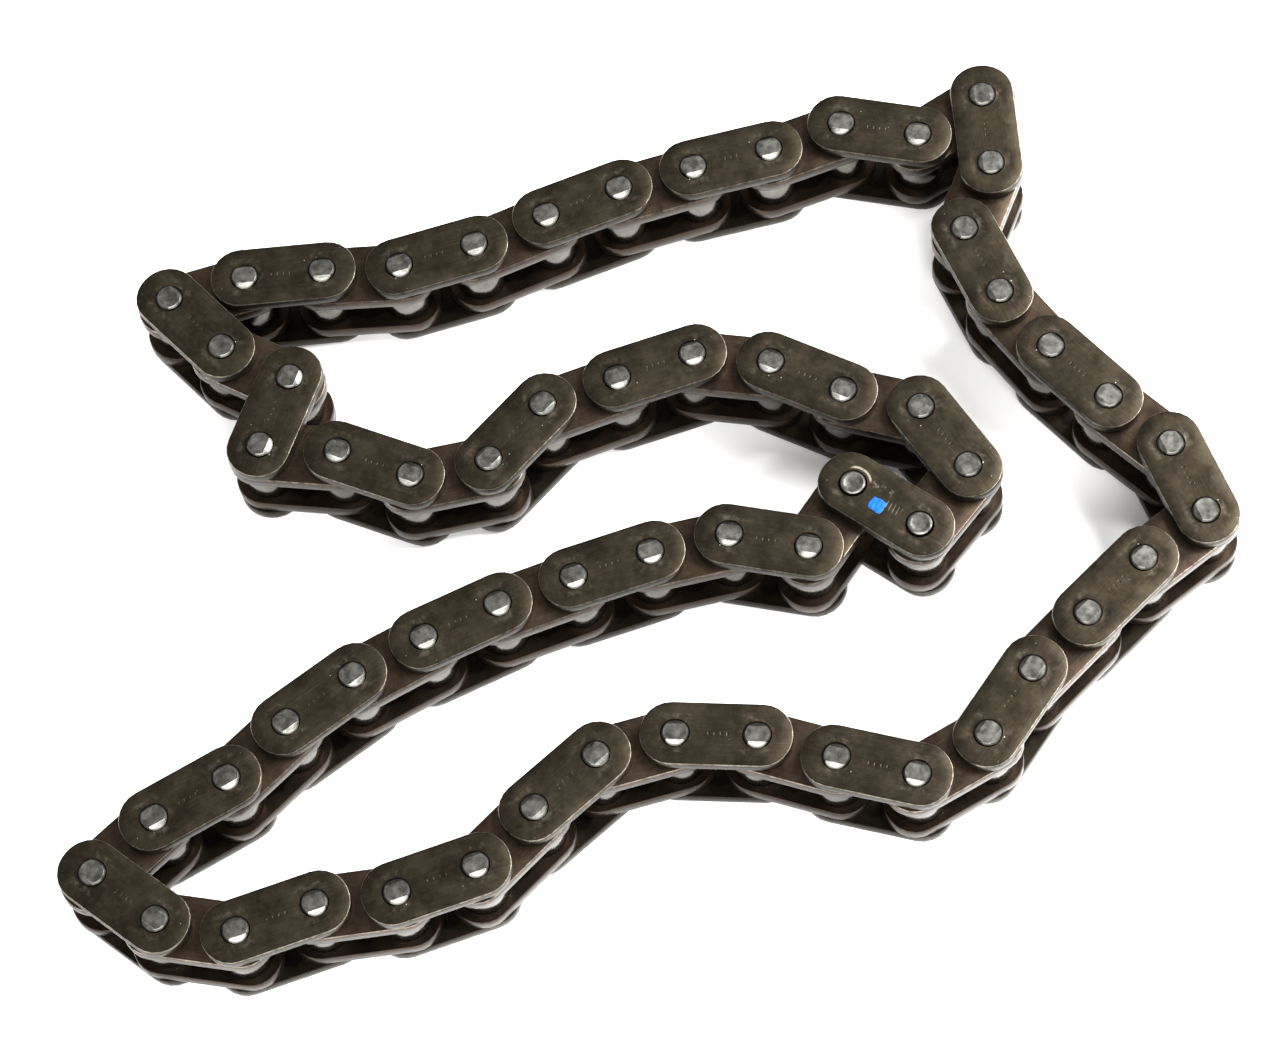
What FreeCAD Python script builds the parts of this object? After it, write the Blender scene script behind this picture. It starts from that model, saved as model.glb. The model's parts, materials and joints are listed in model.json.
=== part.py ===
"""Endless single-strand roller chain of sixty links, lying on its side on a flat surface.

Every pin axis is vertical (+Z). The chain stands on the lower ends of its pins at Z = 0, and the
origin is the middle of the chain's bounding box there. Lengths are millimetres, angles degrees.
"""

import FreeCAD, Part
import cmath
import math
import os

# Driving dimensions of the chain
PITCH = 9.525
PIN_DIAMETER = 3.28
ROLLER_DIAMETER = 6.35
INNER_WIDTH = 5.3
INNER_PLATE_THICKNESS = 1.9
OUTER_PLATE_THICKNESS = 1.6
PLATE_WIDTH = 7.76
PLATE_END_RADIUS = 4.2
PLATE_CORNER_RADIUS = 3.6

# Fits and small details
PLATE_GAP = 0.15
PIN_STAND_OUT = 0.4
PIN_RUNNING_CLEARANCE = 0.04
CLOSING_PIN_CLEARANCE = 0.12
ROLLER_RUNNING_CLEARANCE = 0.05
ROLLER_END_PLAY = 0.06
BUSH_DIAMETER = 4.4
STAKED_PIN_CHAMFER = 0.14
STAKED_RIDGE_WIDTH = 1.84
STAKED_SLOPE_DROP = 0.36
JOINING_PIN_ROUNDING = 0.3

# How the chain lies: the turn at each pin, in whole degrees, left turns positive. The first turn
# is the heading of the first outer link. Even pins start an outer link and odd pins an inner one.
FAR_LEFT_HOOK = (-55, 18, -83, 104, -15)
FAR_DIP = (32, 37, -28, -2, -26, -17, 10, -40)
JOINING_CORNER = (-73, -87, 91, -67)
MIDDLE_RUN = (23, 6, 2, 5, 4, 8, 8, -15, 14)
NEAR_LEFT_END = (99, 28, 28, -12)
NEAR_WAVE = (12, 27, -4, -27, -18, -14, 3)
NEAR_RIGHT_CORNER = (44, 26, -10, -1, -7)
RIGHT_SIDE = (75, 25, -4, -6, -13, -46, 26)
FAR_RUN = (118, -44, 31, -7, 3, 5, 2, -7, -14, 2, 12)
TURNS = (
    FAR_LEFT_HOOK + FAR_DIP + JOINING_CORNER + MIDDLE_RUN + NEAR_LEFT_END
    + NEAR_WAVE + NEAR_RIGHT_CORNER + RIGHT_SIDE + FAR_RUN
)
JOINING_LINK_PIN = 14
CLOSING_PIN = 14
CLOSING_STEPS = 8

# Heights of the stack, from the surface up
LOWER_OUTER_PLATE_Z = PIN_STAND_OUT
LOWER_INNER_PLATE_Z = LOWER_OUTER_PLATE_Z + OUTER_PLATE_THICKNESS + PLATE_GAP
ROLLER_Z = LOWER_INNER_PLATE_Z + INNER_PLATE_THICKNESS
UPPER_INNER_PLATE_Z = ROLLER_Z + INNER_WIDTH
UPPER_OUTER_PLATE_Z = UPPER_INNER_PLATE_Z + INNER_PLATE_THICKNESS + PLATE_GAP
PIN_LENGTH = UPPER_OUTER_PLATE_Z + OUTER_PLATE_THICKNESS + PIN_STAND_OUT
BUSH_LENGTH = INNER_WIDTH + 2 * INNER_PLATE_THICKNESS

UP = FreeCAD.Vector(0, 0, 1)


def cylinder(diameter, height, x, z):
    """A vertical cylinder whose lower face is centred at (x, 0, z)."""
    return Part.makeCylinder(diameter / 2, height, FreeCAD.Vector(x, 0, z), UP)


def plate(thickness, hole_diameter, z):
    """A link plate with its two holes at X = 0 and X = PITCH: round ends cut by straight sides."""
    half_width = PLATE_WIDTH / 2
    reach = math.sqrt(PLATE_END_RADIUS**2 - half_width**2)
    far_left = FreeCAD.Vector(-reach, half_width, z)
    far_right = FreeCAD.Vector(PITCH + reach, half_width, z)
    near_right = FreeCAD.Vector(PITCH + reach, -half_width, z)
    near_left = FreeCAD.Vector(-reach, -half_width, z)
    right_tip = FreeCAD.Vector(PITCH + PLATE_END_RADIUS, 0, z)
    left_tip = FreeCAD.Vector(-PLATE_END_RADIUS, 0, z)
    outline = Part.Wire([
        Part.makeLine(far_left, far_right),
        Part.Arc(far_right, right_tip, near_right).toShape(),
        Part.makeLine(near_right, near_left),
        Part.Arc(near_left, left_tip, far_left).toShape(),
    ])
    blank = Part.Face(outline).extrude(UP * thickness)
    corners = [edge for edge in blank.Edges if edge.BoundBox.ZLength > thickness / 2]
    blank = blank.makeFillet(PLATE_CORNER_RADIUS, corners)
    for x in (0, PITCH):
        blank = blank.cut(cylinder(hole_diameter, thickness, x, z))
    return blank


def staking_profile(x):
    """A bar along X round a pin, with two slopes at its top and bottom that leave a flat ridge."""
    half_ridge = STAKED_RIDGE_WIDTH / 2
    half_width = PIN_DIAMETER / 2
    low, high = STAKED_SLOPE_DROP, PIN_LENGTH - STAKED_SLOPE_DROP
    corners = [
        (half_width, low), (half_width, high), (half_ridge, PIN_LENGTH), (-half_ridge, PIN_LENGTH),
        (-half_width, high), (-half_width, low), (-half_ridge, 0), (half_ridge, 0),
    ]
    points = [FreeCAD.Vector(x - half_width, y, z) for y, z in corners + corners[:1]]
    return Part.Face(Part.makePolygon(points)).extrude(FreeCAD.Vector(PIN_DIAMETER, 0, 0))


def pin(x, rounded):
    """A pin through the whole stack, with sloped staked ends or rounded riveted ends."""
    body = cylinder(PIN_DIAMETER, PIN_LENGTH, x, 0)
    rims = [edge for edge in body.Edges if edge.Closed]
    if rounded:
        return body.makeFillet(JOINING_PIN_ROUNDING, rims)
    return body.makeChamfer(STAKED_PIN_CHAMFER, rims).common(staking_profile(x))


def tube(outer_diameter, inner_diameter, height, x, z):
    """A vertical tube, as a bush or a roller is."""
    return cylinder(outer_diameter, height, x, z).cut(cylinder(inner_diameter, height, x, z))


def outer_link(is_joining_link):
    """Two outer plates pressed on two pins."""
    plates = [
        plate(OUTER_PLATE_THICKNESS, PIN_DIAMETER, z)
        for z in (LOWER_OUTER_PLATE_Z, UPPER_OUTER_PLATE_Z)
    ]
    pins = [pin(x, rounded=is_joining_link) for x in (0, PITCH)]
    return Part.makeCompound(plates + pins)


def inner_link(bush_clearances):
    """Two inner plates pressed on two bushes, with a loose roller round each bush.

    bush_clearances holds the radial clearance over the pin at the first and the second bush.
    """
    plates = [
        plate(INNER_PLATE_THICKNESS, BUSH_DIAMETER, z)
        for z in (LOWER_INNER_PLATE_Z, UPPER_INNER_PLATE_Z)
    ]
    roller_bore = BUSH_DIAMETER + 2 * ROLLER_RUNNING_CLEARANCE
    roller_length = INNER_WIDTH - 2 * ROLLER_END_PLAY
    sleeves = []
    for x, clearance in zip((0, PITCH), bush_clearances):
        bush_bore = PIN_DIAMETER + 2 * clearance
        sleeves.append(tube(BUSH_DIAMETER, bush_bore, BUSH_LENGTH, x, LOWER_INNER_PLATE_Z))
        sleeves.append(tube(ROLLER_DIAMETER, roller_bore, roller_length, x, ROLLER_Z + ROLLER_END_PLAY))
    return Part.makeCompound(plates + sleeves)


def closed_headings():
    """Link headings in radians: the summed turns, corrected as little as possible to close the loop."""
    headings = []
    total = 0
    for turn in TURNS:
        total += turn
        headings.append(math.radians(total))
    for _ in range(CLOSING_STEPS):
        gap = sum(cmath.rect(1, heading) for heading in headings)
        # The smallest correction is a sin(h) - b cos(h), with a and b from this 2 x 2 system.
        ss = sum(math.sin(h) ** 2 for h in headings)
        cc = sum(math.cos(h) ** 2 for h in headings)
        sc = sum(math.sin(h) * math.cos(h) for h in headings)
        determinant = ss * cc - sc * sc
        a = (cc * gap.real + sc * gap.imag) / determinant
        b = (sc * gap.real + ss * gap.imag) / determinant
        headings = [h + a * math.sin(h) - b * math.cos(h) for h in headings]
    return headings


def pin_positions(headings):
    """The pins' centres as complex numbers, the first at 0."""
    positions = [0j]
    for heading in headings[:-1]:
        positions.append(positions[-1] + cmath.rect(PITCH, heading))
    return positions


def placed(shape, position, heading):
    """A copy of a link drawn along +X, moved to its first pin and turned to its heading."""
    copy = shape.copy()
    copy.Placement = FreeCAD.Placement(
        FreeCAD.Vector(position.real, position.imag, 0),
        FreeCAD.Rotation(UP, math.degrees(heading)),
    )
    return copy


def node_name(index):
    """outer_link_01 to 30 and inner_link_01 to 30, with joining_link in place of outer_link_08."""
    if index == JOINING_LINK_PIN:
        return "joining_link"
    kind = "outer" if index % 2 == 0 else "inner"
    return f"{kind}_link_{index // 2 + 1:02d}"


def build_links():
    """Every link's node name and shape, before the chain is centred on the origin."""
    staked = outer_link(is_joining_link=False)
    joining = outer_link(is_joining_link=True)
    plain = inner_link((PIN_RUNNING_CLEARANCE, PIN_RUNNING_CLEARANCE))
    closing = inner_link((PIN_RUNNING_CLEARANCE, CLOSING_PIN_CLEARANCE))
    headings = closed_headings()
    positions = pin_positions(headings)
    links = {}
    for index, (position, heading) in enumerate(zip(positions, headings)):
        if index == JOINING_LINK_PIN:
            shape = joining
        elif index % 2 == 0:
            shape = staked
        elif index + 1 == CLOSING_PIN:
            shape = closing
        else:
            shape = plain
        links[node_name(index)] = placed(shape, position, heading)
    return links


def main():
    """Centres the chain and writes one STEP file for each link."""
    os.makedirs("parts", exist_ok=True)
    links = build_links()
    box = Part.makeCompound(list(links.values())).optimalBoundingBox(False, False)
    to_origin = FreeCAD.Vector(-box.Center.x, -box.Center.y, -box.ZMin)
    for name, shape in links.items():
        shape.translate(to_origin)
        shape.exportStep(f"parts/{name}.step")
    print(f"{len(links)} links, {box.XLength:.2f} x {box.YLength:.2f} x {box.ZLength:.2f} mm")


main()
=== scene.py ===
"""Looks of an endless roller chain lying on its side: browned plates, staked pins, satin rollers.

Every link is one piece. Its plates, pins, bushes and rollers are drawn once in millimetres with the
link's first pin at the origin and its second pin on +X, and a Geometry Nodes tree stacks them and
moves the link to its place on its CAD body.
"""

import json
import logging
import math
from dataclasses import dataclass
from enum import Enum

import bmesh
import bpy
from mathutils import Matrix, Vector


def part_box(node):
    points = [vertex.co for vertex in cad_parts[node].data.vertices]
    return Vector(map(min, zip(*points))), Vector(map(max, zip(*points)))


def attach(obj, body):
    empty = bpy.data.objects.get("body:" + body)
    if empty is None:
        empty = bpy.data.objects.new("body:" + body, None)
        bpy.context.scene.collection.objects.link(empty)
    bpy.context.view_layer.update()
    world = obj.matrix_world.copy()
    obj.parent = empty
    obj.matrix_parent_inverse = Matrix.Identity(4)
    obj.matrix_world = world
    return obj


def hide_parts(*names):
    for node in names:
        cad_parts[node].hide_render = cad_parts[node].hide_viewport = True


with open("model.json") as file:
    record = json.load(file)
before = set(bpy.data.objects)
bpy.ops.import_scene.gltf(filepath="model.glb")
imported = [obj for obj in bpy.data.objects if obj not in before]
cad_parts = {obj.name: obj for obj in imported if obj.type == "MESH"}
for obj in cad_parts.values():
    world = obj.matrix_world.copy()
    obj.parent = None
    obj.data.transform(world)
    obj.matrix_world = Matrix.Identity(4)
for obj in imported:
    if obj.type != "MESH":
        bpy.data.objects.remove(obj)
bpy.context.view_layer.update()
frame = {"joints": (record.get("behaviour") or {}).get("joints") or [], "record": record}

LOG = logging.getLogger("roller_chain")
MM = 0.001
Triple = tuple[float, float, float]
Colour = Triple
RingPoint = tuple[float, float, float, float]


# ---------------------------------------------------------------- node building


class Field:
    """One shader socket, so that maths on it reads as a Python expression."""

    def __init__(self, builder: "ShaderBuilder", socket: bpy.types.NodeSocket) -> None:
        """Keeps the socket and the builder that adds nodes behind it."""
        self.builder = builder
        self.socket = socket

    def _maths(self, operation: str, first: "Field | float", second: "Field | float") -> "Field":
        """Adds one Math node."""
        return self.builder.node("ShaderNodeMath", {"operation": operation}, {0: first, 1: second})

    def __add__(self, other: "Field | float") -> "Field":
        """self + other."""
        return self._maths("ADD", self, other)

    def __radd__(self, other: float) -> "Field":
        """other + self."""
        return self._maths("ADD", other, self)

    def __sub__(self, other: "Field | float") -> "Field":
        """self - other."""
        return self._maths("SUBTRACT", self, other)

    def __rsub__(self, other: float) -> "Field":
        """other - self."""
        return self._maths("SUBTRACT", other, self)

    def __mul__(self, other: "Field | float") -> "Field":
        """self * other."""
        return self._maths("MULTIPLY", self, other)

    def __rmul__(self, other: float) -> "Field":
        """other * self."""
        return self._maths("MULTIPLY", other, self)

    def __pow__(self, other: float) -> "Field":
        """self ** other."""
        return self._maths("POWER", self, other)

    def __abs__(self) -> "Field":
        """The size of self."""
        return self._maths("ABSOLUTE", self, 0.0)

    def least(self, other: "Field | float") -> "Field":
        """The smaller of self and other."""
        return self._maths("MINIMUM", self, other)

    def most(self, other: "Field | float") -> "Field":
        """The larger of self and other."""
        return self._maths("MAXIMUM", self, other)

    def rise(self, start: float, end: float) -> "Field":
        """A smooth step, which falls where start is above end.

        Args:
            start: Where it is 0.
            end: Where it is 1.

        Returns:
            The step as a field.
        """
        return self.builder.node(
            "ShaderNodeMapRange",
            {"interpolation_type": "SMOOTHSTEP"},
            {"Value": self, "From Min": start, "From Max": end},
        )

    def band(self, centre: float, half_width: float, soft: float) -> "Field":
        """1 within half_width of centre, falling to 0 over soft."""
        return abs(self - centre).rise(half_width + soft, half_width)


class ShaderBuilder:
    """Builds one material's node tree."""

    def __init__(self, name: str) -> None:
        """Makes an empty material with a Principled shader.

        Args:
            name: The material's name.
        """
        self.material = bpy.data.materials.new(name)
        self.material.use_nodes = True
        self.tree = self.material.node_tree
        self.shader = self.tree.nodes["Principled BSDF"]

    def node(self, kind: str, settings: dict, inputs: dict, output: int | str = 0) -> Field:
        """Adds any node.

        Args:
            kind: The node's type.
            settings: The node's own settings, set first.
            inputs: Values or fields, by socket name or number.
            output: The socket to return.

        Returns:
            The node's output as a field.
        """
        made = self.tree.nodes.new(kind)
        for key, value in settings.items():
            setattr(made, key, value)
        for key, value in inputs.items():
            if isinstance(value, Field):
                self.tree.links.new(value.socket, made.inputs[key])
            else:
                made.inputs[key].default_value = value
        return Field(self, made.outputs[output])

    def attribute(self, name: str, output: str) -> Field:
        """A named attribute of the mesh."""
        return self.node("ShaderNodeAttribute", {"attribute_name": name}, {}, output)

    def parts_of(self, place: Field) -> list[Field]:
        """A place's distance along the link, distance across it and height, in millimetres."""
        return [self.node("ShaderNodeSeparateXYZ", {}, {0: place}, axis) for axis in range(3)]

    def stretched(self, place: Field, scale: Triple) -> Field:
        """A place multiplied by a different number along each axis."""
        return self.node("ShaderNodeVectorMath", {"operation": "MULTIPLY"}, {0: place, 1: scale})

    def noise(self, place: Field, seed: Field, scale: float, detail: float, rough: float = 0.5) -> Field:
        """Smooth noise that differs from link to link.

        Args:
            place: Where it is read.
            seed: The link's own number.
            scale: Its fineness, in cells to a millimetre.
            detail: How many finer layers it has.
            rough: How strong the finer layers are.

        Returns:
            The noise, from 0 to 1.
        """
        return self.node(
            "ShaderNodeTexNoise",
            {"noise_dimensions": "4D"},
            {"Vector": place, "W": seed, "Scale": scale, "Detail": detail, "Roughness": rough},
        )

    def blend(self, share: Field, first: "Field | Colour", second: "Field | Colour") -> Field:
        """A colour between first and second.

        Args:
            share: How much of the second colour there is, from 0 to 1.
            first: The colour at 0.
            second: The colour at 1.

        Returns:
            The blended colour.
        """
        made = self.tree.nodes.new("ShaderNodeMix")
        made.data_type = "RGBA"
        sockets = {s.identifier: s for s in made.inputs}
        self.tree.links.new(share.socket, sockets["Factor_Float"])
        for label, colour in (("A_Color", first), ("B_Color", second)):
            if isinstance(colour, Field):
                self.tree.links.new(colour.socket, sockets[label])
            else:
                sockets[label].default_value = (*colour, 1.0)
        result = next(s for s in made.outputs if s.identifier == "Result_Color")
        return Field(self, result)

    def finish(self, colour: Field, roughness: Field, height: Field, depth_mm: float,
               **uniform: float) -> bpy.types.Material:
        """Feeds the shader.

        Args:
            colour: The base colour.
            roughness: The roughness.
            height: The relief, from 0 to 1.
            depth_mm: The relief's depth in millimetres.
            uniform: Values that are the same all over, by socket name with _ for a space.

        Returns:
            The finished material.
        """
        self.tree.links.new(colour.socket, self.shader.inputs["Base Color"])
        self.tree.links.new(roughness.socket, self.shader.inputs["Roughness"])
        normal = self.node("ShaderNodeBump", {}, {"Height": height, "Strength": 1.0,
                                                  "Distance": depth_mm * MM})
        self.tree.links.new(normal.socket, self.shader.inputs["Normal"])
        for key, value in uniform.items():
            self.shader.inputs[key.replace("_", " ")].default_value = value
        return self.material


class GeometryBuilder:
    """Builds one Geometry Nodes tree with named inputs."""

    def __init__(self, name: str, inputs: dict[str, str]) -> None:
        """Makes the tree and its sockets.

        Args:
            name: The tree's name.
            inputs: Socket type by input name.
        """
        self.tree = bpy.data.node_groups.new(name, "GeometryNodeTree")
        self.identifiers: dict[str, str] = {}
        for label, kind in inputs.items():
            socket = self.tree.interface.new_socket(label, in_out="INPUT", socket_type=kind)
            self.identifiers[label] = socket.identifier
        self.tree.interface.new_socket("Geometry", in_out="OUTPUT", socket_type="NodeSocketGeometry")
        self.entry = self.tree.nodes.new("NodeGroupInput")

    def given(self, label: str) -> bpy.types.NodeSocket:
        """The tree's input of that name."""
        return next(s for s in self.entry.outputs if s.name == label)

    def node(self, kind: str, settings: dict, inputs: dict, output: int | str = 0) -> bpy.types.NodeSocket:
        """Adds any node.

        Args:
            kind: The node's type.
            settings: The node's own settings, set first.
            inputs: Values or sockets, by socket name or number. A list of sockets joins them.
            output: The socket to return.

        Returns:
            The node's output.
        """
        made = self.tree.nodes.new(kind)
        for key, value in settings.items():
            setattr(made, key, value)
        for key, value in inputs.items():
            for one in reversed(value) if isinstance(value, list) else (value,):
                if isinstance(one, bpy.types.NodeSocket):
                    self.tree.links.new(one, made.inputs[key])
                else:
                    made.inputs[key].default_value = one
        return made.outputs[output]

    def close(self, geometry: bpy.types.NodeSocket) -> None:
        """Links the geometry to the tree's output."""
        leave = self.tree.nodes.new("NodeGroupOutput")
        self.tree.links.new(geometry, leave.inputs["Geometry"])


# ---------------------------------------------------------------- finishes


class Marks(Enum):
    """What use has left on a plate between its pins."""

    PLAIN = "plain"
    SCRATCHED = "scratched"


@dataclass(frozen=True)
class BrownedSteel:
    """Oil-browned plate steel with a lengthwise grain, rubbed rims brightened by a painted highlight, and
    painted shade on the lower plates.
    """

    name: str
    dark: Colour
    light: Colour
    # The colour of rubbed marks, and of the painted highlight along the rims.
    worn_and_highlight: Colour
    roughness: float
    pitch: float
    marks: Marks = Marks.PLAIN
    punched: bool = False
    fleck: Colour = (0.5, 0.5, 0.46)
    # The near-black colour and heights of the painted shade on the lower plates.
    lower_plate_shade: Colour = (0.003, 0.0024, 0.0018)
    lower_plate_shade_starts_below: float = 9.0
    lower_plate_shade_full_below: float = 6.0
    smear_offset: float = 2.1
    halo_radius: float = 2.0
    punch_row_half: float = 1.45
    punch_wave: float = 8.5
    scratch_wave: float = 12.5
    upper_face_above: float = 12.0
    relief_mm: float = 0.012

    def build(self) -> bpy.types.Material:
        """Makes the material.

        Returns:
            The finished material.
        """
        b = ShaderBuilder(self.name)
        place = b.attribute("link_place", "Vector")
        seed = b.attribute("link_seed", "Fac")
        rim = b.attribute("rim", "Fac")
        along, across, height = b.parts_of(place)
        to_pin = abs(along).least(abs(along - self.pitch))
        radius = (to_pin * to_pin + across * across) ** 0.5

        cloud = b.noise(place, seed, 0.32, 4.0, 0.6)
        patch = b.noise(place, seed + 7.0, 1.3, 5.0, 0.65)
        grain = b.noise(b.stretched(place, (0.25, 5.0, 5.0)), seed, 1.0, 4.0, 0.7)
        fine = b.noise(place, seed, 14.0, 3.0, 0.7)

        tone = (cloud * 0.9 + patch * 0.7 + grain * 0.55 - 0.6).rise(0.1, 0.95)
        colour = b.blend(tone, self.dark, self.light)

        smear = abs(across).band(self.smear_offset, 0.15, 0.35) * to_pin.rise(2.4, 1.2)
        pressed = smear * patch.rise(0.42, 0.68)
        halo = radius.band(self.halo_radius, 0.15, 0.3) * patch.rise(0.5, 0.75)
        touched = pressed * 0.09 + halo * 0.07
        hair = b.noise(b.stretched(place, (0.12, 9.0, 9.0)), seed + 3.0, 1.0, 2.0, 0.4)
        touched = touched + hair.rise(0.66, 0.74) * 0.05
        if self.marks is Marks.SCRATCHED:
            touched = touched.most(self.scratches(b, along, across, height, radius, patch))
        colour = b.blend(touched.least(1.0), colour, self.worn_and_highlight)

        cells = b.node("ShaderNodeTexVoronoi", {}, {"Vector": place, "Scale": 1.15})
        pick = b.noise(place, seed + 21.0, 0.9, 0.0)
        fleck = cells.rise(0.085, 0.05) * pick.rise(0.55, 0.61) * radius.rise(4.4, 2.2)
        colour = b.blend(fleck, colour, self.fleck)

        # Rubbed rims, brightened further into a painted highlight along the rolled edges.
        chipped_and_highlight = (rim * (0.4 + patch * 0.9)).rise(0.55, 1.0)
        colour = b.blend(chipped_and_highlight * 0.6, colour, self.worn_and_highlight)
        sheared = rim.band(0.3, 0.14, 0.12)
        colour = b.blend(sheared * 0.5, colour, self.dark)
        # Painted shade: flat faces low in the stack, down between the parts, go nearly black.
        lower_plate_shade = height.rise(self.lower_plate_shade_starts_below, self.lower_plate_shade_full_below) * rim.rise(0.15, 0.0)
        colour = b.blend(lower_plate_shade * 0.8, colour, self.lower_plate_shade)
        roughness = self.roughness + (fine - 0.5) * 0.22 + (cloud - 0.5) * 0.2 - chipped_and_highlight * 0.1
        relief = grain * 0.5 + fine * 0.35 + patch * 0.4
        if self.punched:
            beat = b.node("ShaderNodeMath", {"operation": "SINE"}, {0: along * self.punch_wave})
            dots = beat.rise(0.2, 0.9) * along.band(self.pitch / 2, self.punch_row_half, 0.1)
            relief = relief - dots * abs(across).band(0.0, 0.13, 0.12) * patch.rise(0.35, 0.5) * 2.5
        return b.finish(colour, roughness, relief, self.relief_mm, Metallic=0.94)

    def scratches(self, b: ShaderBuilder, along: Field, across: Field, height: Field, radius: Field,
                  patch: Field) -> Field:
        """Short tool scratches across the plate and one curved round the second pin.

        Args:
            b: The builder of the material.
            along: Distance along the link in millimetres.
            across: Distance across it.
            height: Height over the link's lower end.
            radius: Distance to the nearer pin.
            patch: Medium noise, which breaks the lines up.

        Returns:
            A mask of the scratches.
        """
        slanted = (along + across * 0.12) * self.scratch_wave
        wave = b.node("ShaderNodeMath", {"operation": "SINE"}, {0: slanted})
        ticks = wave.rise(0.6, 0.95) * along.band(3.75, 1.0, 0.15) * across.band(0.05, 0.3, 0.45)
        scuff = along.band(6.3, 1.2, 0.5) * across.band(-1.35, 0.2, 0.4) * patch.rise(0.5, 0.62)
        curve = radius.band(2.15, 0.07, 0.12) * (0.0 - across).rise(0.9, 1.3)
        curve = curve * (along - self.pitch).band(-0.2, 1.2, 0.5) * patch.rise(0.3, 0.5)
        marks = (ticks * patch.rise(0.3, 0.55) * 0.4).most(curve).most(scuff * 0.3)
        return marks * height.rise(self.upper_face_above, self.upper_face_above + 0.5)


@dataclass(frozen=True)
class TurnedSteel:
    """Bare steel of a pin, a bush or a roller, lightly mottled.

    A painted shade darkens the ring outside a given radius on the ends of the pins, and a painted shade and
    dark reflection darken the lower ends.
    """

    name: str
    dark: Colour
    light: Colour
    roughness: float
    scale: float
    depth_mm: float
    # Painted shade and dark reflection towards the lower ends of the rollers and bushes.
    lower_end_shade: float = 0.0
    lower_end_shade_starts_below: float = 8.3
    lower_end_shade_full_below: float = 5.0
    lower_end_shade_colour: Colour = (0.012, 0.01, 0.008)
    # Painted shade in the ring round each pin end, where it meets its hole.
    pin_end_shade_radius: float = 0.0
    pin_end_shade_soft: float = 0.12
    pin_end_shade_colour: Colour = (0.014, 0.012, 0.009)
    pitch: float = 9.525

    def build(self) -> bpy.types.Material:
        """Makes the material.

        Returns:
            The finished material.
        """
        b = ShaderBuilder(self.name)
        place = b.attribute("link_place", "Vector")
        seed = b.attribute("link_seed", "Fac")
        cloud = b.noise(place, seed, self.scale, 5.0, 0.65)
        turning = b.noise(b.stretched(place, (0.6, 0.6, 7.0)), seed + 5.0, 1.0, 3.0, 0.6)
        fine = b.noise(place, seed, self.scale * 12.0, 3.0, 0.7)
        tone = (cloud * 1.2 + turning * 0.5 - 0.4).rise(0.15, 0.85)
        colour = b.blend(tone, self.dark, self.light)
        along, across, height = b.parts_of(place)
        if self.pin_end_shade_radius:
            to_pin = abs(along).least(abs(along - self.pitch))
            radius = (to_pin * to_pin + across * across) ** 0.5
            # Painted shade round the pin end, where it meets the hole in the plate.
            pin_end_shade = (radius + (cloud - 0.5) * 0.3).rise(self.pin_end_shade_radius, self.pin_end_shade_radius + self.pin_end_shade_soft)
            colour = b.blend(pin_end_shade * 0.8, colour, self.pin_end_shade_colour)
        if self.lower_end_shade:
            # Painted shade and dark reflection: darker towards the lower end.
            lower_end_shade_mask = (height + cloud * 2.0).rise(self.lower_end_shade_starts_below, self.lower_end_shade_full_below)
            colour = b.blend(lower_end_shade_mask * self.lower_end_shade, colour, self.lower_end_shade_colour)
        roughness = self.roughness + (fine - 0.5) * 0.18 + (cloud - 0.5) * 0.2
        return b.finish(colour, roughness, cloud * 0.7 + fine * 0.3, self.depth_mm, Metallic=1.0)


@dataclass(frozen=True)
class BrushedPaint:
    """A dab of marking paint."""

    name: str
    dark: Colour
    light: Colour

    def build(self) -> bpy.types.Material:
        """Makes the material.

        Returns:
            The finished material.
        """
        b = ShaderBuilder(self.name)
        place = b.attribute("link_place", "Vector")
        seed = b.attribute("link_seed", "Fac")
        strokes = b.noise(b.stretched(place, (4.0, 1.2, 1.0)), seed, 1.0, 4.0, 0.6)
        colour = b.blend(strokes.rise(0.35, 0.65), self.dark, self.light)
        return b.finish(colour, 0.35 + strokes * 0.25, strokes, 0.02, Specular_IOR_Level=0.15)


@dataclass(frozen=True)
class PaleFloor:
    """A plain pale sheet."""

    name: str
    colour: Colour
    roughness: float = 0.8
    specular: float = 0.2

    def build(self) -> bpy.types.Material:
        """Makes the material.

        Returns:
            The finished material.
        """
        b = ShaderBuilder(self.name)
        b.shader.inputs["Base Color"].default_value = (*self.colour, 1.0)
        b.shader.inputs["Roughness"].default_value = self.roughness
        b.shader.inputs["Specular IOR Level"].default_value = self.specular
        return b.material


# ---------------------------------------------------------------- shapes


@dataclass(frozen=True)
class LatheShape:
    """A closed ring or solid turned about +Z from a profile of (radius, height) in millimetres."""

    profile: tuple[tuple[float, float], ...]
    hollow: bool
    segments: int

    def mesh(self) -> bmesh.types.BMesh:
        """Turns the profile. A solid is capped at both ends, a hollow shape closes on itself.

        Returns:
            The closed shape.
        """
        shape = bmesh.new()
        rings = []
        for radius, height in self.profile:
            ring = []
            for step in range(self.segments):
                angle = 2 * math.pi * step / self.segments
                ring.append(shape.verts.new((radius * math.cos(angle), radius * math.sin(angle), height)))
            rings.append(ring)
        pairs = list(zip(rings, rings[1:]))
        if self.hollow:
            pairs.append((rings[-1], rings[0]))
        for lower, upper in pairs:
            for step in range(self.segments):
                after = (step + 1) % self.segments
                shape.faces.new((lower[step], lower[after], upper[after], upper[step]))
        if not self.hollow:
            shape.faces.new(list(reversed(rings[0])))
            shape.faces.new(rings[-1])
        return shape


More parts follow.
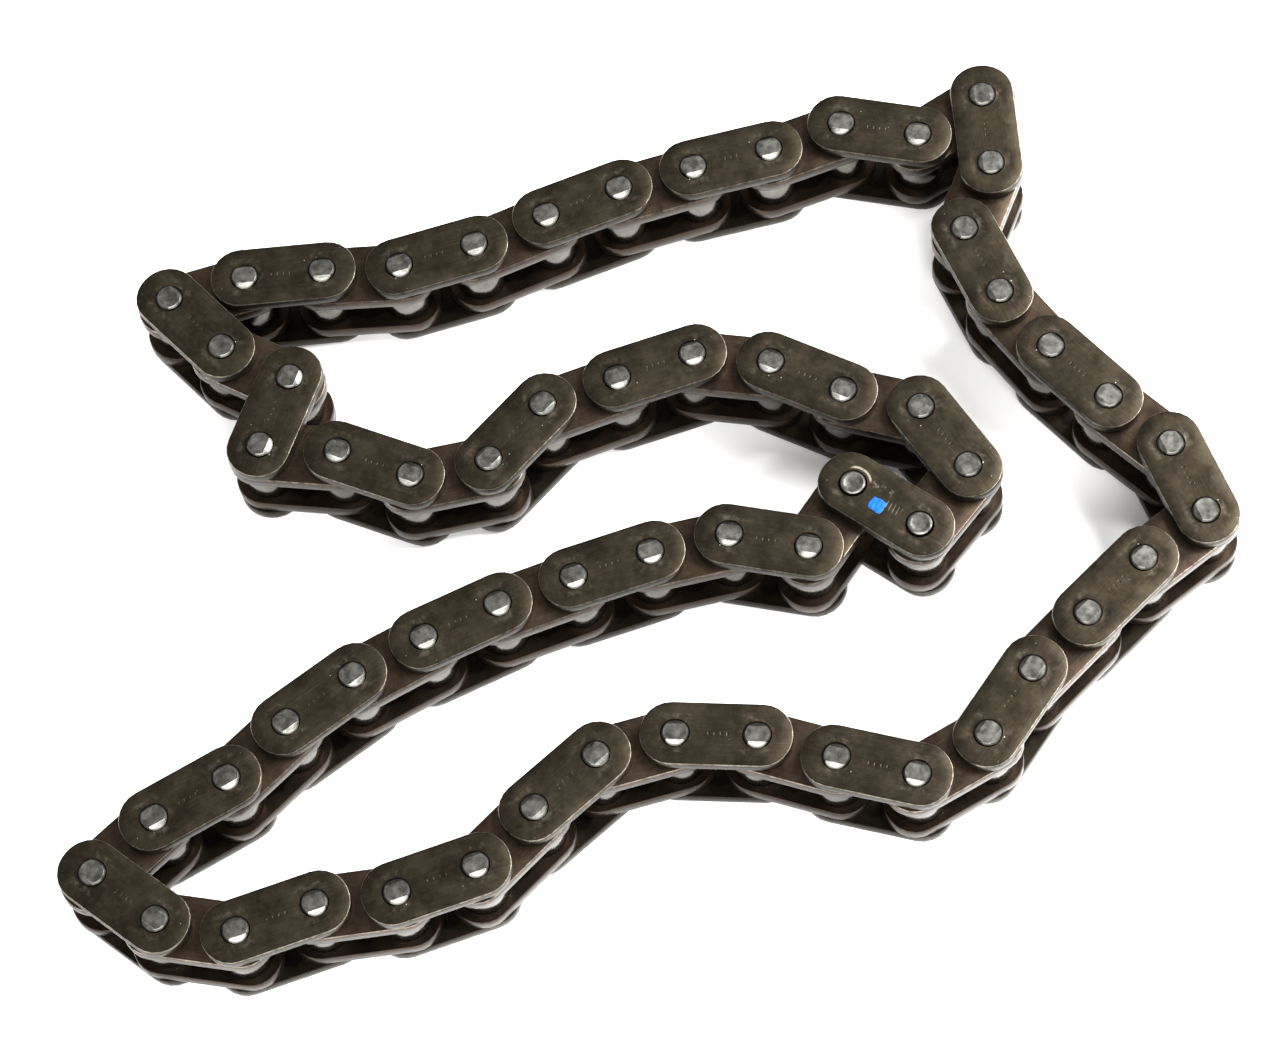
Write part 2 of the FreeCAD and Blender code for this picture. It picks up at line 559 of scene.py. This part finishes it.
@dataclass(frozen=True)
class LinkPlate:
    """A link plate with two holes, a rolled upper rim and dents where its pins were staked.

    The inner face is at Z = 0 and the outer face at the thickness. Sizes are millimetres.
    """

    thickness: float
    hole_radius: float
    hole_mouth: float
    mouth_depth: float
    pitch: float = 9.525
    half_width: float = 3.88
    end_radius: float = 4.2
    corner_radius: float = 3.6
    rim: float = 0.24
    lower_rim: float = 0.1
    dent: float = 0.05
    dent_from_mouth: float = 0.3
    flat_from_mouth: float = 0.75
    side_stations: Triple = (3.3, 1.9, 0.6)
    middle_shares: tuple[float, ...] = (-0.66, -0.33, 0.0, 0.33, 0.66)
    corner_steps: int = 4
    arc_steps: int = 9
    weld: float = 0.0005

    def outline(self) -> list[tuple[Vector, Vector]]:
        """Points and outward normals from the middle of one straight side round the first hole.

        Returns:
            (point, normal) in order, ending at the middle of the other straight side.
        """
        inner = self.end_radius - self.corner_radius
        rise = self.half_width - self.corner_radius
        centre = Vector((-math.sqrt(inner**2 - rise**2), rise))
        tangent = math.atan2(centre.y, centre.x)
        side = Vector((0.0, 1.0))
        points = [(Vector((x, self.half_width)), side) for x in (self.pitch / 2, *self.side_stations)]
        for step in range(self.corner_steps + 1):
            angle = math.pi / 2 + (tangent - math.pi / 2) * step / self.corner_steps
            normal = Vector((math.cos(angle), math.sin(angle)))
            points.append((centre + normal * self.corner_radius, normal))
        for step in range(1, self.arc_steps + 1):
            angle = tangent + (math.pi - tangent) * step / self.arc_steps
            normal = Vector((math.cos(angle), math.sin(angle)))
            points.append((normal * self.end_radius, normal))
        mirrored = [(Vector((p.x, -p.y)), Vector((n.x, -n.y))) for p, n in reversed(points[:-1])]
        return points + mirrored

    def rings(self, point: Vector, normal: Vector, at_middle: bool) -> list[RingPoint]:
        """Positions and a rim value, for rubbing and a painted highlight, from the hole's lower edge, over
        the outer face and rim, to below.

        Args:
            point: Where this spoke meets the outline or the middle of the plate.
            normal: The outline's outward normal there, which isn't used at the middle.
            at_middle: Whether the spoke ends on the middle line and not on the outline.

        Returns:
            (x, y, z, rim value) for each ring.
        """
        way = point.normalized()
        top = self.thickness
        sideways = max(0.0, abs(way.y) - 0.5) * 2.0

        def on_ring(radius: float, z: float) -> RingPoint:
            """A point round the hole."""
            return (way.x * radius, way.y * radius, z, 0.0)

        def on_outline(inset: float, z: float, rim_wear_and_highlight: float) -> RingPoint:
            """A point inside the outline by the inset."""
            place = point - normal * inset
            return (place.x, place.y, z, rim_wear_and_highlight)

        inner = [
            on_ring(self.hole_radius, 0.0),
            on_ring(self.hole_radius, top - self.mouth_depth),
            on_ring(self.hole_mouth, top),
            on_ring(self.hole_mouth + self.dent_from_mouth, top - self.dent * sideways),
            on_ring(self.hole_mouth + self.flat_from_mouth, top),
        ]
        if at_middle:
            return inner + [(point.x, point.y, top, 0.0), (point.x, point.y, 0.0, 0.0)]
        return inner + [
            on_outline(self.rim, top, 0.0),
            on_outline(self.rim * 0.3, top - self.rim * 0.25, 1.0),
            on_outline(0.0, top - self.rim * 0.9, 0.75),
            on_outline(0.0, top * 0.48, 0.2),
            on_outline(0.02, self.lower_rim * 1.6, 0.5),
            on_outline(self.lower_rim, 0.0, 0.3),
        ]

    def mesh(self) -> bmesh.types.BMesh:
        """Builds half the plate round its first hole and turns a copy of it on to the second.

        Returns:
            The closed plate.
        """
        shape = bmesh.new()
        # The rim value drives rubbing and a painted highlight in the plate's material.
        rim_wear_and_highlight = shape.verts.layers.float.new("rim")
        edge = self.outline()
        limit = self.half_width - self.rim
        middle = [Vector((self.pitch / 2, share * limit)) for share in self.middle_shares]

        def column(point: Vector, normal: Vector, at_middle: bool) -> list[bmesh.types.BMVert]:
            """Adds the vertices of one spoke, with their rim values for rubbing and the painted highlight.

            Args:
                point: Where the spoke ends.
                normal: The outline's outward normal there.
                at_middle: Whether it ends on the middle line.

            Returns:
                The vertices in the order of the rings.
            """
            made = []
            for x, y, z, value in self.rings(point, normal, at_middle):
                vert = shape.verts.new((x, y, z))
                vert[rim_wear_and_highlight] = value
                made.append(vert)
            return made

        outer = [column(p, n, False) for p, n in edge]
        inner = [column(p, Vector((1.0, 0.0)), True) for p in middle]
        for first, second in zip(outer, outer[1:]):
            for step in range(len(first) - 1):
                shape.faces.new((first[step], first[step + 1], second[step + 1], second[step]))
            shape.faces.new((first[-1], first[0], second[0], second[-1]))
        # The columns beside the middle line have the mouth rings and the two flat faces only.
        mouth_rings = len(inner[0]) - 2
        beside = [outer[-1]] + inner + [outer[0]]
        for first, second in zip(beside, beside[1:]):
            for step in range(mouth_rings):
                shape.faces.new((first[step], first[step + 1], second[step + 1], second[step]))
            shape.faces.new((first[-1], first[0], second[0], second[-1]))
        turn = Matrix.Translation((self.pitch, 0, 0)) @ Matrix.Rotation(math.pi, 4, "Z")
        copy = bmesh.ops.duplicate(shape, geom=shape.verts[:] + shape.edges[:] + shape.faces[:])
        bmesh.ops.transform(shape, matrix=turn,
                            verts=[v for v in copy["geom"] if isinstance(v, bmesh.types.BMVert)])
        bmesh.ops.remove_doubles(shape, verts=shape.verts[:], dist=self.weld)
        bmesh.ops.recalc_face_normals(shape, faces=shape.faces[:])
        return shape


@dataclass(frozen=True)
class StakedPin:
    """A pin with two slopes pressed on each end by the staking tool."""

    length: float
    radius: float = 1.64
    end_radius: float = 1.6
    chamfer: float = 0.22
    neck: float = 0.55
    neck_taper: float = 0.12
    neck_flare: float = 0.02
    flat: float = 0.95
    slope_degrees: float = 38.0
    segments: int = 40

    def mesh(self) -> bmesh.types.BMesh:
        """Turns the pin and cuts its four slopes.

        Returns:
            The closed pin.
        """
        top = self.length
        end, tip = self.end_radius, self.end_radius - self.chamfer
        upper = ((self.radius, top - self.neck - self.neck_taper),
                 (end + self.neck_flare, top - self.neck), (end, top - self.chamfer), (tip, top))
        lower = tuple((r, top - z) for r, z in reversed(upper))
        shape = LatheShape(lower + upper, False, self.segments).mesh()
        slope = math.radians(self.slope_degrees)
        for side in (-1, 1):
            for z, up in ((top, 1), (0.0, -1)):
                cut = bmesh.ops.bisect_plane(
                    shape, geom=shape.verts[:] + shape.edges[:] + shape.faces[:],
                    plane_co=(0, side * self.flat, z),
                    plane_no=(0, side * math.sin(slope), up * math.cos(slope)),
                    clear_outer=True)
                edges = [g for g in cut["geom_cut"] if isinstance(g, bmesh.types.BMEdge)]
                bmesh.ops.edgeloop_fill(shape, edges=edges)
        bmesh.ops.recalc_face_normals(shape, faces=shape.faces[:])
        return shape


@dataclass(frozen=True)
class PaintDab:
    """A thin uneven dab of paint on the upper plate of the joining link."""

    centre: tuple[float, float]
    half_length: float = 0.95
    half_width: float = 0.85
    thickness: float = 0.035
    squareness: float = 0.7
    crown: tuple[tuple[float, float], ...] = ((1.0, 0.002), (0.94, 0.75), (0.7, 1.0), (0.35, 0.9))
    ripples: tuple[Triple, ...] = ((0.04, 3, 1), (0.03, 7, 0), (0.03, 13, 0))
    points: int = 40

    def mesh(self, height: float) -> bmesh.types.BMesh:
        """Draws the dab as a crowned patch with a ragged edge.

        The crown is (share of the size, share of the thickness) from the edge inwards, and each ripple
        of the edge is (depth, waves round the dab, phase).

        Args:
            height: The height of the face that it lies on.

        Returns:
            The dab's shape.
        """
        shape = bmesh.new()
        rings = []
        for share, lift in self.crown:
            ring = []
            for step in range(self.points):
                angle = 2 * math.pi * step / self.points
                ripple = (depth * math.sin(waves * angle + phase) for depth, waves, phase in self.ripples)
                ragged = 1 + sum(ripple)
                square = 1 / max(abs(math.cos(angle)), abs(math.sin(angle))) ** self.squareness
                reach = share * ragged * square
                x = self.centre[0] + self.half_length * reach * math.cos(angle)
                y = self.centre[1] + self.half_width * reach * math.sin(angle)
                ring.append(shape.verts.new((x, y, height + self.thickness * lift)))
            rings.append(ring)
        for outer, inner in zip(rings, rings[1:]):
            for step in range(self.points):
                after = (step + 1) % self.points
                shape.faces.new((outer[step], outer[after], inner[after], inner[step]))
        shape.faces.new(rings[-1])
        shape.faces.new(list(reversed(rings[0])))
        bmesh.ops.recalc_face_normals(shape, faces=shape.faces[:])
        return shape


def object_from(name: str, shape: bmesh.types.BMesh, crease_degrees: float = 28.0) -> bpy.types.Object:
    """Turns a shape into a smooth-shaded object with its sharp edges marked.

    Args:
        name: The object's name.
        shape: The shape, which is freed.
        crease_degrees: Edges that turn by more than this are sharp.

    Returns:
        The object, linked to the scene.
    """
    mesh = bpy.data.meshes.new(name)
    shape.to_mesh(mesh)
    shape.free()
    mesh.shade_smooth()
    mesh.set_sharp_from_angle(angle=math.radians(crease_degrees))
    made = bpy.data.objects.new(name, mesh)
    bpy.context.scene.collection.objects.link(made)
    return made


# ---------------------------------------------------------------- the chain


@dataclass(frozen=True)
class LinkPlace:
    """Where one link lies: its CAD node and its two pins, in metres."""

    number: int
    node: str
    first: Vector
    second: Vector

    @property
    def heading(self) -> float:
        """The link's direction in radians."""
        way = self.second - self.first
        return math.atan2(way.y, way.x)


class Stack(Enum):
    """The three kinds of link."""

    OUTER = "outer"
    INNER = "inner"
    JOINING = "joining"


@dataclass
class LinkKit:
    """The parts of a link, drawn once, and the tree that stacks them. Sizes are millimetres.

    The rivet's head is (radius, depth below its top) from the axis outwards, and the roller's edge is
    (inset from its outer radius, depth below its end).
    """

    pitch: float = 9.525
    outer_thickness: float = 1.6
    inner_thickness: float = 1.9
    inner_width: float = 5.3
    plate_gap: float = 0.15
    stand_out: float = 0.4
    pin_radius: float = 1.64
    bush_radius: float = 2.2
    bush_bore: float = 1.69
    roller_radius: float = 3.175
    roller_bore: float = 2.26
    roller_end_play: float = 0.06
    roller_edge: tuple[tuple[float, float], ...] = ((0.32, 0.0), (0.09, 0.07), (0.0, 0.28))
    rivet_head: tuple[tuple[float, float], ...] = (
        (0.0001, 0.05), (0.55, 0.045), (1.0, 0.03), (1.12, 0.0), (1.3, 0.02),
        (1.46, 0.13), (1.53, 0.3), (1.55, 0.55), (1.64, 0.7))
    outer_hole_radius: float = 1.655
    outer_hole_mouth: float = 1.74
    inner_hole_mouth: float = 2.3
    bush_mouth: float = 1.8
    bore_chamfer: float = 0.1
    seed_step: float = 1.37

    def __post_init__(self) -> None:
        """Works out the heights of the stack and draws the parts and the trees."""
        self.lower_outer = self.stand_out
        self.lower_inner = self.lower_outer + self.outer_thickness + self.plate_gap
        self.roller_base = self.lower_inner + self.inner_thickness
        self.upper_inner = self.roller_base + self.inner_width
        self.upper_outer = self.upper_inner + self.inner_thickness + self.plate_gap
        self.pin_length = self.upper_outer + self.outer_thickness + self.stand_out
        self.finishes = self.make_finishes()
        self.parts = self.make_parts()
        self.trees = {kind: self.make_tree(kind) for kind in Stack}

    def make_finishes(self) -> dict[str, bpy.types.Material]:
        """Makes the finish of every surface of a link.

        Returns:
            The materials by a short key.
        """
        outer = dict(dark=(0.0125, 0.0098, 0.006), light=(0.041, 0.0325, 0.0205),
                     worn_and_highlight=(0.3, 0.27, 0.22), roughness=0.42, pitch=self.pitch)
        made = {
            "outer": BrownedSteel("outer_plate_steel", punched=True, **outer),
            "joining": BrownedSteel("joining_plate_steel", marks=Marks.SCRATCHED, **outer),
            "inner": BrownedSteel("inner_plate_steel", dark=(0.02, 0.0135, 0.0095),
                                  light=(0.06, 0.0415, 0.026), worn_and_highlight=(0.36, 0.3, 0.25),
                                  roughness=0.36, pitch=self.pitch),
            "pin": TurnedSteel("pin_steel", (0.06, 0.06, 0.054), (0.24, 0.235, 0.215), 0.32, 1.1, 0.02,
                               pin_end_shade_radius=1.4),
            "roller": TurnedSteel("roller_steel", (0.07, 0.065, 0.057), (0.15, 0.138, 0.122), 0.17, 0.5,
                                  0.006, lower_end_shade=0.6),
            "paint": BrushedPaint("marking_paint", (0.001, 0.05, 0.24), (0.006, 0.095, 0.42)),
        }
        return {key: finish.build() for key, finish in made.items()}

    def make_parts(self) -> dict[str, bpy.types.Object]:
        """Draws the parts of a link at the origin.

        Returns:
            The pattern objects by part.
        """
        bush = self.inner_width + 2 * self.inner_thickness
        roller = self.inner_width - 2 * self.roller_end_play
        chamfer = self.bore_chamfer
        roller_mouth = self.roller_bore + chamfer
        lower_edge = tuple((self.roller_radius - inset, depth) for inset, depth in self.roller_edge)
        roller_profile = (
            (self.roller_bore, chamfer), (roller_mouth, 0.0), *lower_edge,
            *((radius, roller - depth) for radius, depth in reversed(lower_edge)),
            (roller_mouth, roller), (self.roller_bore, roller - chamfer))
        bush_profile = (
            (self.bush_bore, chamfer), (self.bush_mouth, 0.0), (self.bush_radius, 0.0),
            (self.bush_radius, bush), (self.bush_mouth, bush), (self.bush_bore, bush - chamfer))
        upper_head = tuple((radius, self.pin_length - depth) for radius, depth in reversed(self.rivet_head))
        shapes = {
            "outer_plate": LinkPlate(self.outer_thickness, self.outer_hole_radius, self.outer_hole_mouth,
                                     mouth_depth=0.15),
            "inner_plate": LinkPlate(self.inner_thickness, self.bush_radius + 0.01, self.inner_hole_mouth,
                                     mouth_depth=0.1, dent=0.0),
            "pin": StakedPin(self.pin_length, self.pin_radius),
            "rivet": LatheShape(self.rivet_head + upper_head, hollow=False, segments=40),
            "bush": LatheShape(bush_profile, hollow=True, segments=28),
            "roller": LatheShape(roller_profile, hollow=True, segments=36),
        }
        return {key: object_from(f"{key}_pattern", shape.mesh()) for key, shape in shapes.items()}

    def make_tree(self, kind: Stack) -> GeometryBuilder:
        """The tree that stacks a link's parts, marks them and moves the link to its place.

        Args:
            kind: Which kind of link.

        Returns:
            The builder, which holds the tree and its input identifiers.
        """
        tree = GeometryBuilder(f"{kind.value}_link_stack", {
            "Pitch": "NodeSocketFloat", "Lower Plate Height": "NodeSocketFloat",
            "Upper Plate Height": "NodeSocketFloat", "Sleeve Height": "NodeSocketFloat",
            "Place": "NodeSocketVector", "Heading": "NodeSocketVector", "Link Seed": "NodeSocketFloat"})
        plate_key = "inner_plate" if kind is Stack.INNER else "outer_plate"
        finish = {Stack.INNER: "inner", Stack.OUTER: "outer", Stack.JOINING: "joining"}[kind]

        def pattern(key: str) -> bpy.types.NodeSocket:
            """The part drawn under that key."""
            return tree.node("GeometryNodeObjectInfo", {}, {"Object": self.parts[key]}, "Geometry")

        def lift(height: bpy.types.NodeSocket) -> bpy.types.NodeSocket:
            """A step up by the height."""
            return tree.node("ShaderNodeCombineXYZ", {}, {"Z": height})

        def tagged(geometry: bpy.types.NodeSocket, number: int) -> bpy.types.NodeSocket:
            """The geometry with the number of its finish on every face."""
            return tree.node("GeometryNodeStoreNamedAttribute", {"data_type": "INT", "domain": "FACE"},
                             {"Geometry": geometry, "Name": "finish", "Value": number})

        def on_both_pins(key: str, base: bpy.types.NodeSocket | None) -> bpy.types.NodeSocket:
            """Puts a part at each of the link's two pins.

            Args:
                key: The part.
                base: The height of its lower end, or nothing to leave it at the bottom.

            Returns:
                The two instances.
            """
            step = tree.node("ShaderNodeCombineXYZ", {}, {"X": tree.given("Pitch")})
            line = tree.node("GeometryNodeMeshLine", {}, {"Count": 2, "Offset": step})
            if base is not None:
                line = tree.node("GeometryNodeTransform", {}, {"Geometry": line, "Translation": lift(base)})
            return tree.node("GeometryNodeInstanceOnPoints", {}, {"Points": line, "Instance": pattern(key)})

        upper = tree.node("GeometryNodeTransform", {}, {
            "Geometry": pattern(plate_key), "Translation": lift(tree.given("Upper Plate Height"))})
        lower = tree.node("GeometryNodeTransform", {}, {
            "Geometry": pattern(plate_key), "Rotation": (math.pi, 0.0, 0.0),
            "Translation": lift(tree.given("Lower Plate Height"))})
        surfaces = [finish, "roller" if kind is Stack.INNER else "pin"]
        members = [tagged(upper, 0), tagged(lower, 0)]
        if kind is Stack.INNER:
            members.append(tagged(on_both_pins("bush", tree.given("Sleeve Height")), 1))
            roller_base = tree.node("ShaderNodeMath", {"operation": "ADD"}, {
                0: tree.given("Sleeve Height"), 1: self.inner_thickness + self.roller_end_play})
            members.append(tagged(on_both_pins("roller", roller_base), 1))
        else:
            members.append(tagged(on_both_pins("rivet" if kind is Stack.JOINING else "pin", None), 1))
        whole = tree.node("GeometryNodeRealizeInstances", {}, {
            "Geometry": tree.node("GeometryNodeJoinGeometry", {}, {"Geometry": members})})
        position = tree.node("GeometryNodeInputPosition", {}, {})
        for label, data_type, value in (("link_place", "FLOAT_VECTOR", position),
                                        ("link_seed", "FLOAT", tree.given("Link Seed"))):
            whole = tree.node("GeometryNodeStoreNamedAttribute", {"data_type": data_type, "domain": "POINT"},
                              {"Geometry": whole, "Name": label, "Value": value})
        whole = tree.node("GeometryNodeTransform", {}, {
            "Geometry": whole, "Translation": tree.given("Place"), "Rotation": tree.given("Heading"),
            "Scale": (MM, MM, MM)})
        whole = tree.node("GeometryNodeRealizeInstances", {}, {"Geometry": whole})
        tag = tree.node("GeometryNodeInputNamedAttribute", {"data_type": "INT"}, {"Name": "finish"})
        for number, key in enumerate(surfaces):
            chosen = tree.node("FunctionNodeCompare", {"data_type": "INT", "operation": "EQUAL"},
                               {"A": tag, "B": number})
            whole = tree.node("GeometryNodeSetMaterial", {}, {
                "Geometry": whole, "Selection": chosen, "Material": self.finishes[key]})
        tree.close(whole)
        return tree

    def stack(self, kind: Stack, place: LinkPlace) -> bpy.types.Object:
        """Stacks one link at its place.

        Args:
            kind: Which kind of link.
            place: Where it lies.

        Returns:
            A plain mesh object named after the link.
        """
        tree = self.trees[kind]
        inner = kind is Stack.INNER
        host = bpy.data.objects.new(f"{place.node}_host", bpy.data.meshes.new("host"))
        bpy.context.scene.collection.objects.link(host)
        stacker = host.modifiers.new("stack", "NODES")
        stacker.node_group = tree.tree
        values = {
            "Pitch": self.pitch,
            "Lower Plate Height": self.roller_base if inner else self.lower_outer + self.outer_thickness,
            "Upper Plate Height": self.upper_inner if inner else self.upper_outer,
            "Sleeve Height": self.lower_inner,
            "Place": tuple(place.first),
            "Heading": (0.0, 0.0, place.heading),
            "Link Seed": place.number * self.seed_step,
        }
        for label, value in values.items():
            stacker[tree.identifiers[label]] = value
        graph = bpy.context.evaluated_depsgraph_get()
        mesh = bpy.data.meshes.new_from_object(host.evaluated_get(graph), preserve_all_data_layers=True,
                                               depsgraph=graph)
        bpy.data.objects.remove(host)
        piece = bpy.data.objects.new(f"{place.node}_steel", mesh)
        mesh.name = piece.name
        bpy.context.scene.collection.objects.link(piece)
        return piece

    def discard_patterns(self) -> None:
        """Removes the parts that only served as patterns."""
        for part in self.parts.values():
            bpy.data.objects.remove(part)


@dataclass
class Chain:
    """The whole chain: sixty links on their CAD bodies, and the paint on the joining link."""

    kit: LinkKit
    link_count: int = 60
    joining_number: int = 15
    paint_centre: tuple[float, float] = (5.55, 0.75)

    def kind_of(self, number: int) -> Stack:
        """Outer and inner links take turns, and one outer link is the joining link."""
        if number == self.joining_number:
            return Stack.JOINING
        return Stack.OUTER if number % 2 else Stack.INNER

    def places(self) -> list[LinkPlace]:
        """Finds every link from the record's hinges. The open pin has none, so it comes from the boxes.

        Returns:
            The links in order along the chain.
        """
        pins = {int(joint["name"].split("_")[1]): Vector(joint["pos_m"]) for joint in frame["joints"]}
        found = []
        for number in range(1, self.link_count + 1):
            kind = self.kind_of(number)
            node = f"{kind.value}_link"
            if kind is not Stack.JOINING:
                node += f"_{(number + 1) // 2:02d}"
            low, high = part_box(node)
            middle = (low + high) / 2
            first, second = pins.get(number), pins.get(number % self.link_count + 1)
            first = first or 2 * middle - second
            second = second or 2 * middle - first
            found.append(LinkPlace(number, node, Vector((first.x, first.y, 0.0)),
                                   Vector((second.x, second.y, 0.0))))
        return found

    def build(self) -> None:
        """Stacks every link and puts it on its body."""
        bodies = frame["record"]["behaviour"]["bodies"]
        body_of = {node: body for body, nodes in bodies.items() for node in nodes}
        for place in self.places():
            kind = self.kind_of(place.number)
            piece = self.kit.stack(kind, place)
            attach(piece, body_of[place.node])
            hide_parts(place.node)
            LOG.info("%s: %d faces", piece.name, len(piece.data.polygons))
            if kind is Stack.JOINING:
                self.paint(place, body_of[place.node])
        self.kit.discard_patterns()

    def paint(self, place: LinkPlace, body: str) -> None:
        """Adds the dab of marking paint to the joining link.

        Args:
            place: Where the joining link lies.
            body: The body that it rides on.
        """
        top = self.kit.upper_outer + self.kit.outer_thickness
        shape = PaintDab(self.paint_centre).mesh(top)
        dab = object_from("marking_paint_dab", shape, crease_degrees=40.0)
        mesh = dab.data
        local = mesh.attributes.new("link_place", "FLOAT_VECTOR", "POINT")
        for vertex, value in zip(mesh.vertices, local.data):
            value.vector = vertex.co
        mesh.attributes.new("link_seed", "FLOAT", "POINT")
        mesh.transform(Matrix.Translation(place.first) @ Matrix.Rotation(place.heading, 4, "Z")
                       @ Matrix.Scale(MM, 4))
        mesh.materials.append(self.kit.finishes["paint"])
        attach(dab, body)
        LOG.info("%s: %d faces", dab.name, len(mesh.polygons))


# ---------------------------------------------------------------- studio


@dataclass(frozen=True)
class SoftLight:
    """A large square light aimed at the chain. Angles are degrees, sizes metres."""

    name: str
    azimuth: float
    elevation: float
    distance: float
    width: float
    height: float
    watts: float

    def build(self) -> None:
        """Makes the light."""
        lamp = bpy.data.lights.new(self.name, "AREA")
        lamp.shape = "RECTANGLE"
        lamp.size, lamp.size_y = self.width, self.height
        lamp.energy = self.watts
        made = bpy.data.objects.new(self.name, lamp)
        turn, rise = math.radians(self.azimuth), math.radians(self.elevation)
        away = Vector((math.cos(rise) * math.cos(turn), math.cos(rise) * math.sin(turn), math.sin(rise)))
        made.location = away * self.distance
        made.rotation_euler = away.to_track_quat("Z", "Y").to_euler()
        bpy.context.scene.collection.objects.link(made)


@dataclass
class Studio:
    """The pale floor, the lights and the camera. The camera's place is in millimetres."""

    floor_half: float = 1.5
    floor_colour: Colour = (0.93, 0.93, 0.92)
    world_colour: Colour = (1.0, 0.99, 0.97)
    world_strength: float = 0.7
    camera_place: tuple[float, float, float] = (2.101, -209.675, 475.082)
    camera_elevation: float = 65.933
    camera_roll: float = 10.5507
    lens: float = 120.245
    sensor: float = 36.0
    lights: tuple[SoftLight, ...] = (
        SoftLight("front_softbox", -90.0, 38.0, 0.9, 1.3, 0.5, 22.0),
        SoftLight("key_softbox", 12.0, 44.0, 0.9, 0.6, 0.6, 36.0),
    )

    def build(self) -> None:
        """Makes everything that isn't part of the chain."""
        self.make_camera()
        self.make_floor()
        world = bpy.data.worlds.new("studio")
        bpy.context.scene.world = world
        world.use_nodes = True
        background = world.node_tree.nodes["Background"]
        background.inputs["Color"].default_value = (*self.world_colour, 1.0)
        background.inputs["Strength"].default_value = self.world_strength
        for light in self.lights:
            light.build()
        bpy.context.scene.view_settings.view_transform = "Standard"

    def make_floor(self) -> None:
        """A plain pale sheet under the chain."""
        shape = bmesh.new()
        bmesh.ops.create_grid(shape, x_segments=4, y_segments=4, size=self.floor_half)
        floor = object_from("floor", shape)
        floor.data.materials.append(PaleFloor("pale_floor", self.floor_colour).build())

    def make_camera(self) -> None:
        """A camera over the near side, looking down on the chain and rolled a little."""
        rise, roll = math.radians(self.camera_elevation), math.radians(self.camera_roll)
        right = Vector((1.0, 0.0, 0.0))
        down = Vector((0.0, -math.sin(rise), -math.cos(rise)))
        ahead = Vector((0.0, math.cos(rise), -math.sin(rise)))
        own_right = math.cos(roll) * right + math.sin(roll) * down
        own_up = math.sin(roll) * right - math.cos(roll) * down
        turn = Matrix((own_right, own_up, -ahead)).transposed()
        data = bpy.data.cameras.new("camera")
        data.sensor_width = self.sensor
        data.lens = self.lens
        camera = bpy.data.objects.new("camera", data)
        camera.matrix_world = Matrix.Translation(Vector(self.camera_place) * MM) @ turn.to_4x4()
        bpy.context.scene.collection.objects.link(camera)
        bpy.context.scene.camera = camera


def main() -> None:
    """Builds the studio and the chain."""
    logging.basicConfig(level=logging.INFO, format="%(name)s: %(message)s")
    Studio().build()
    Chain(LinkKit()).build()


if __name__ == "__main__":
    main()
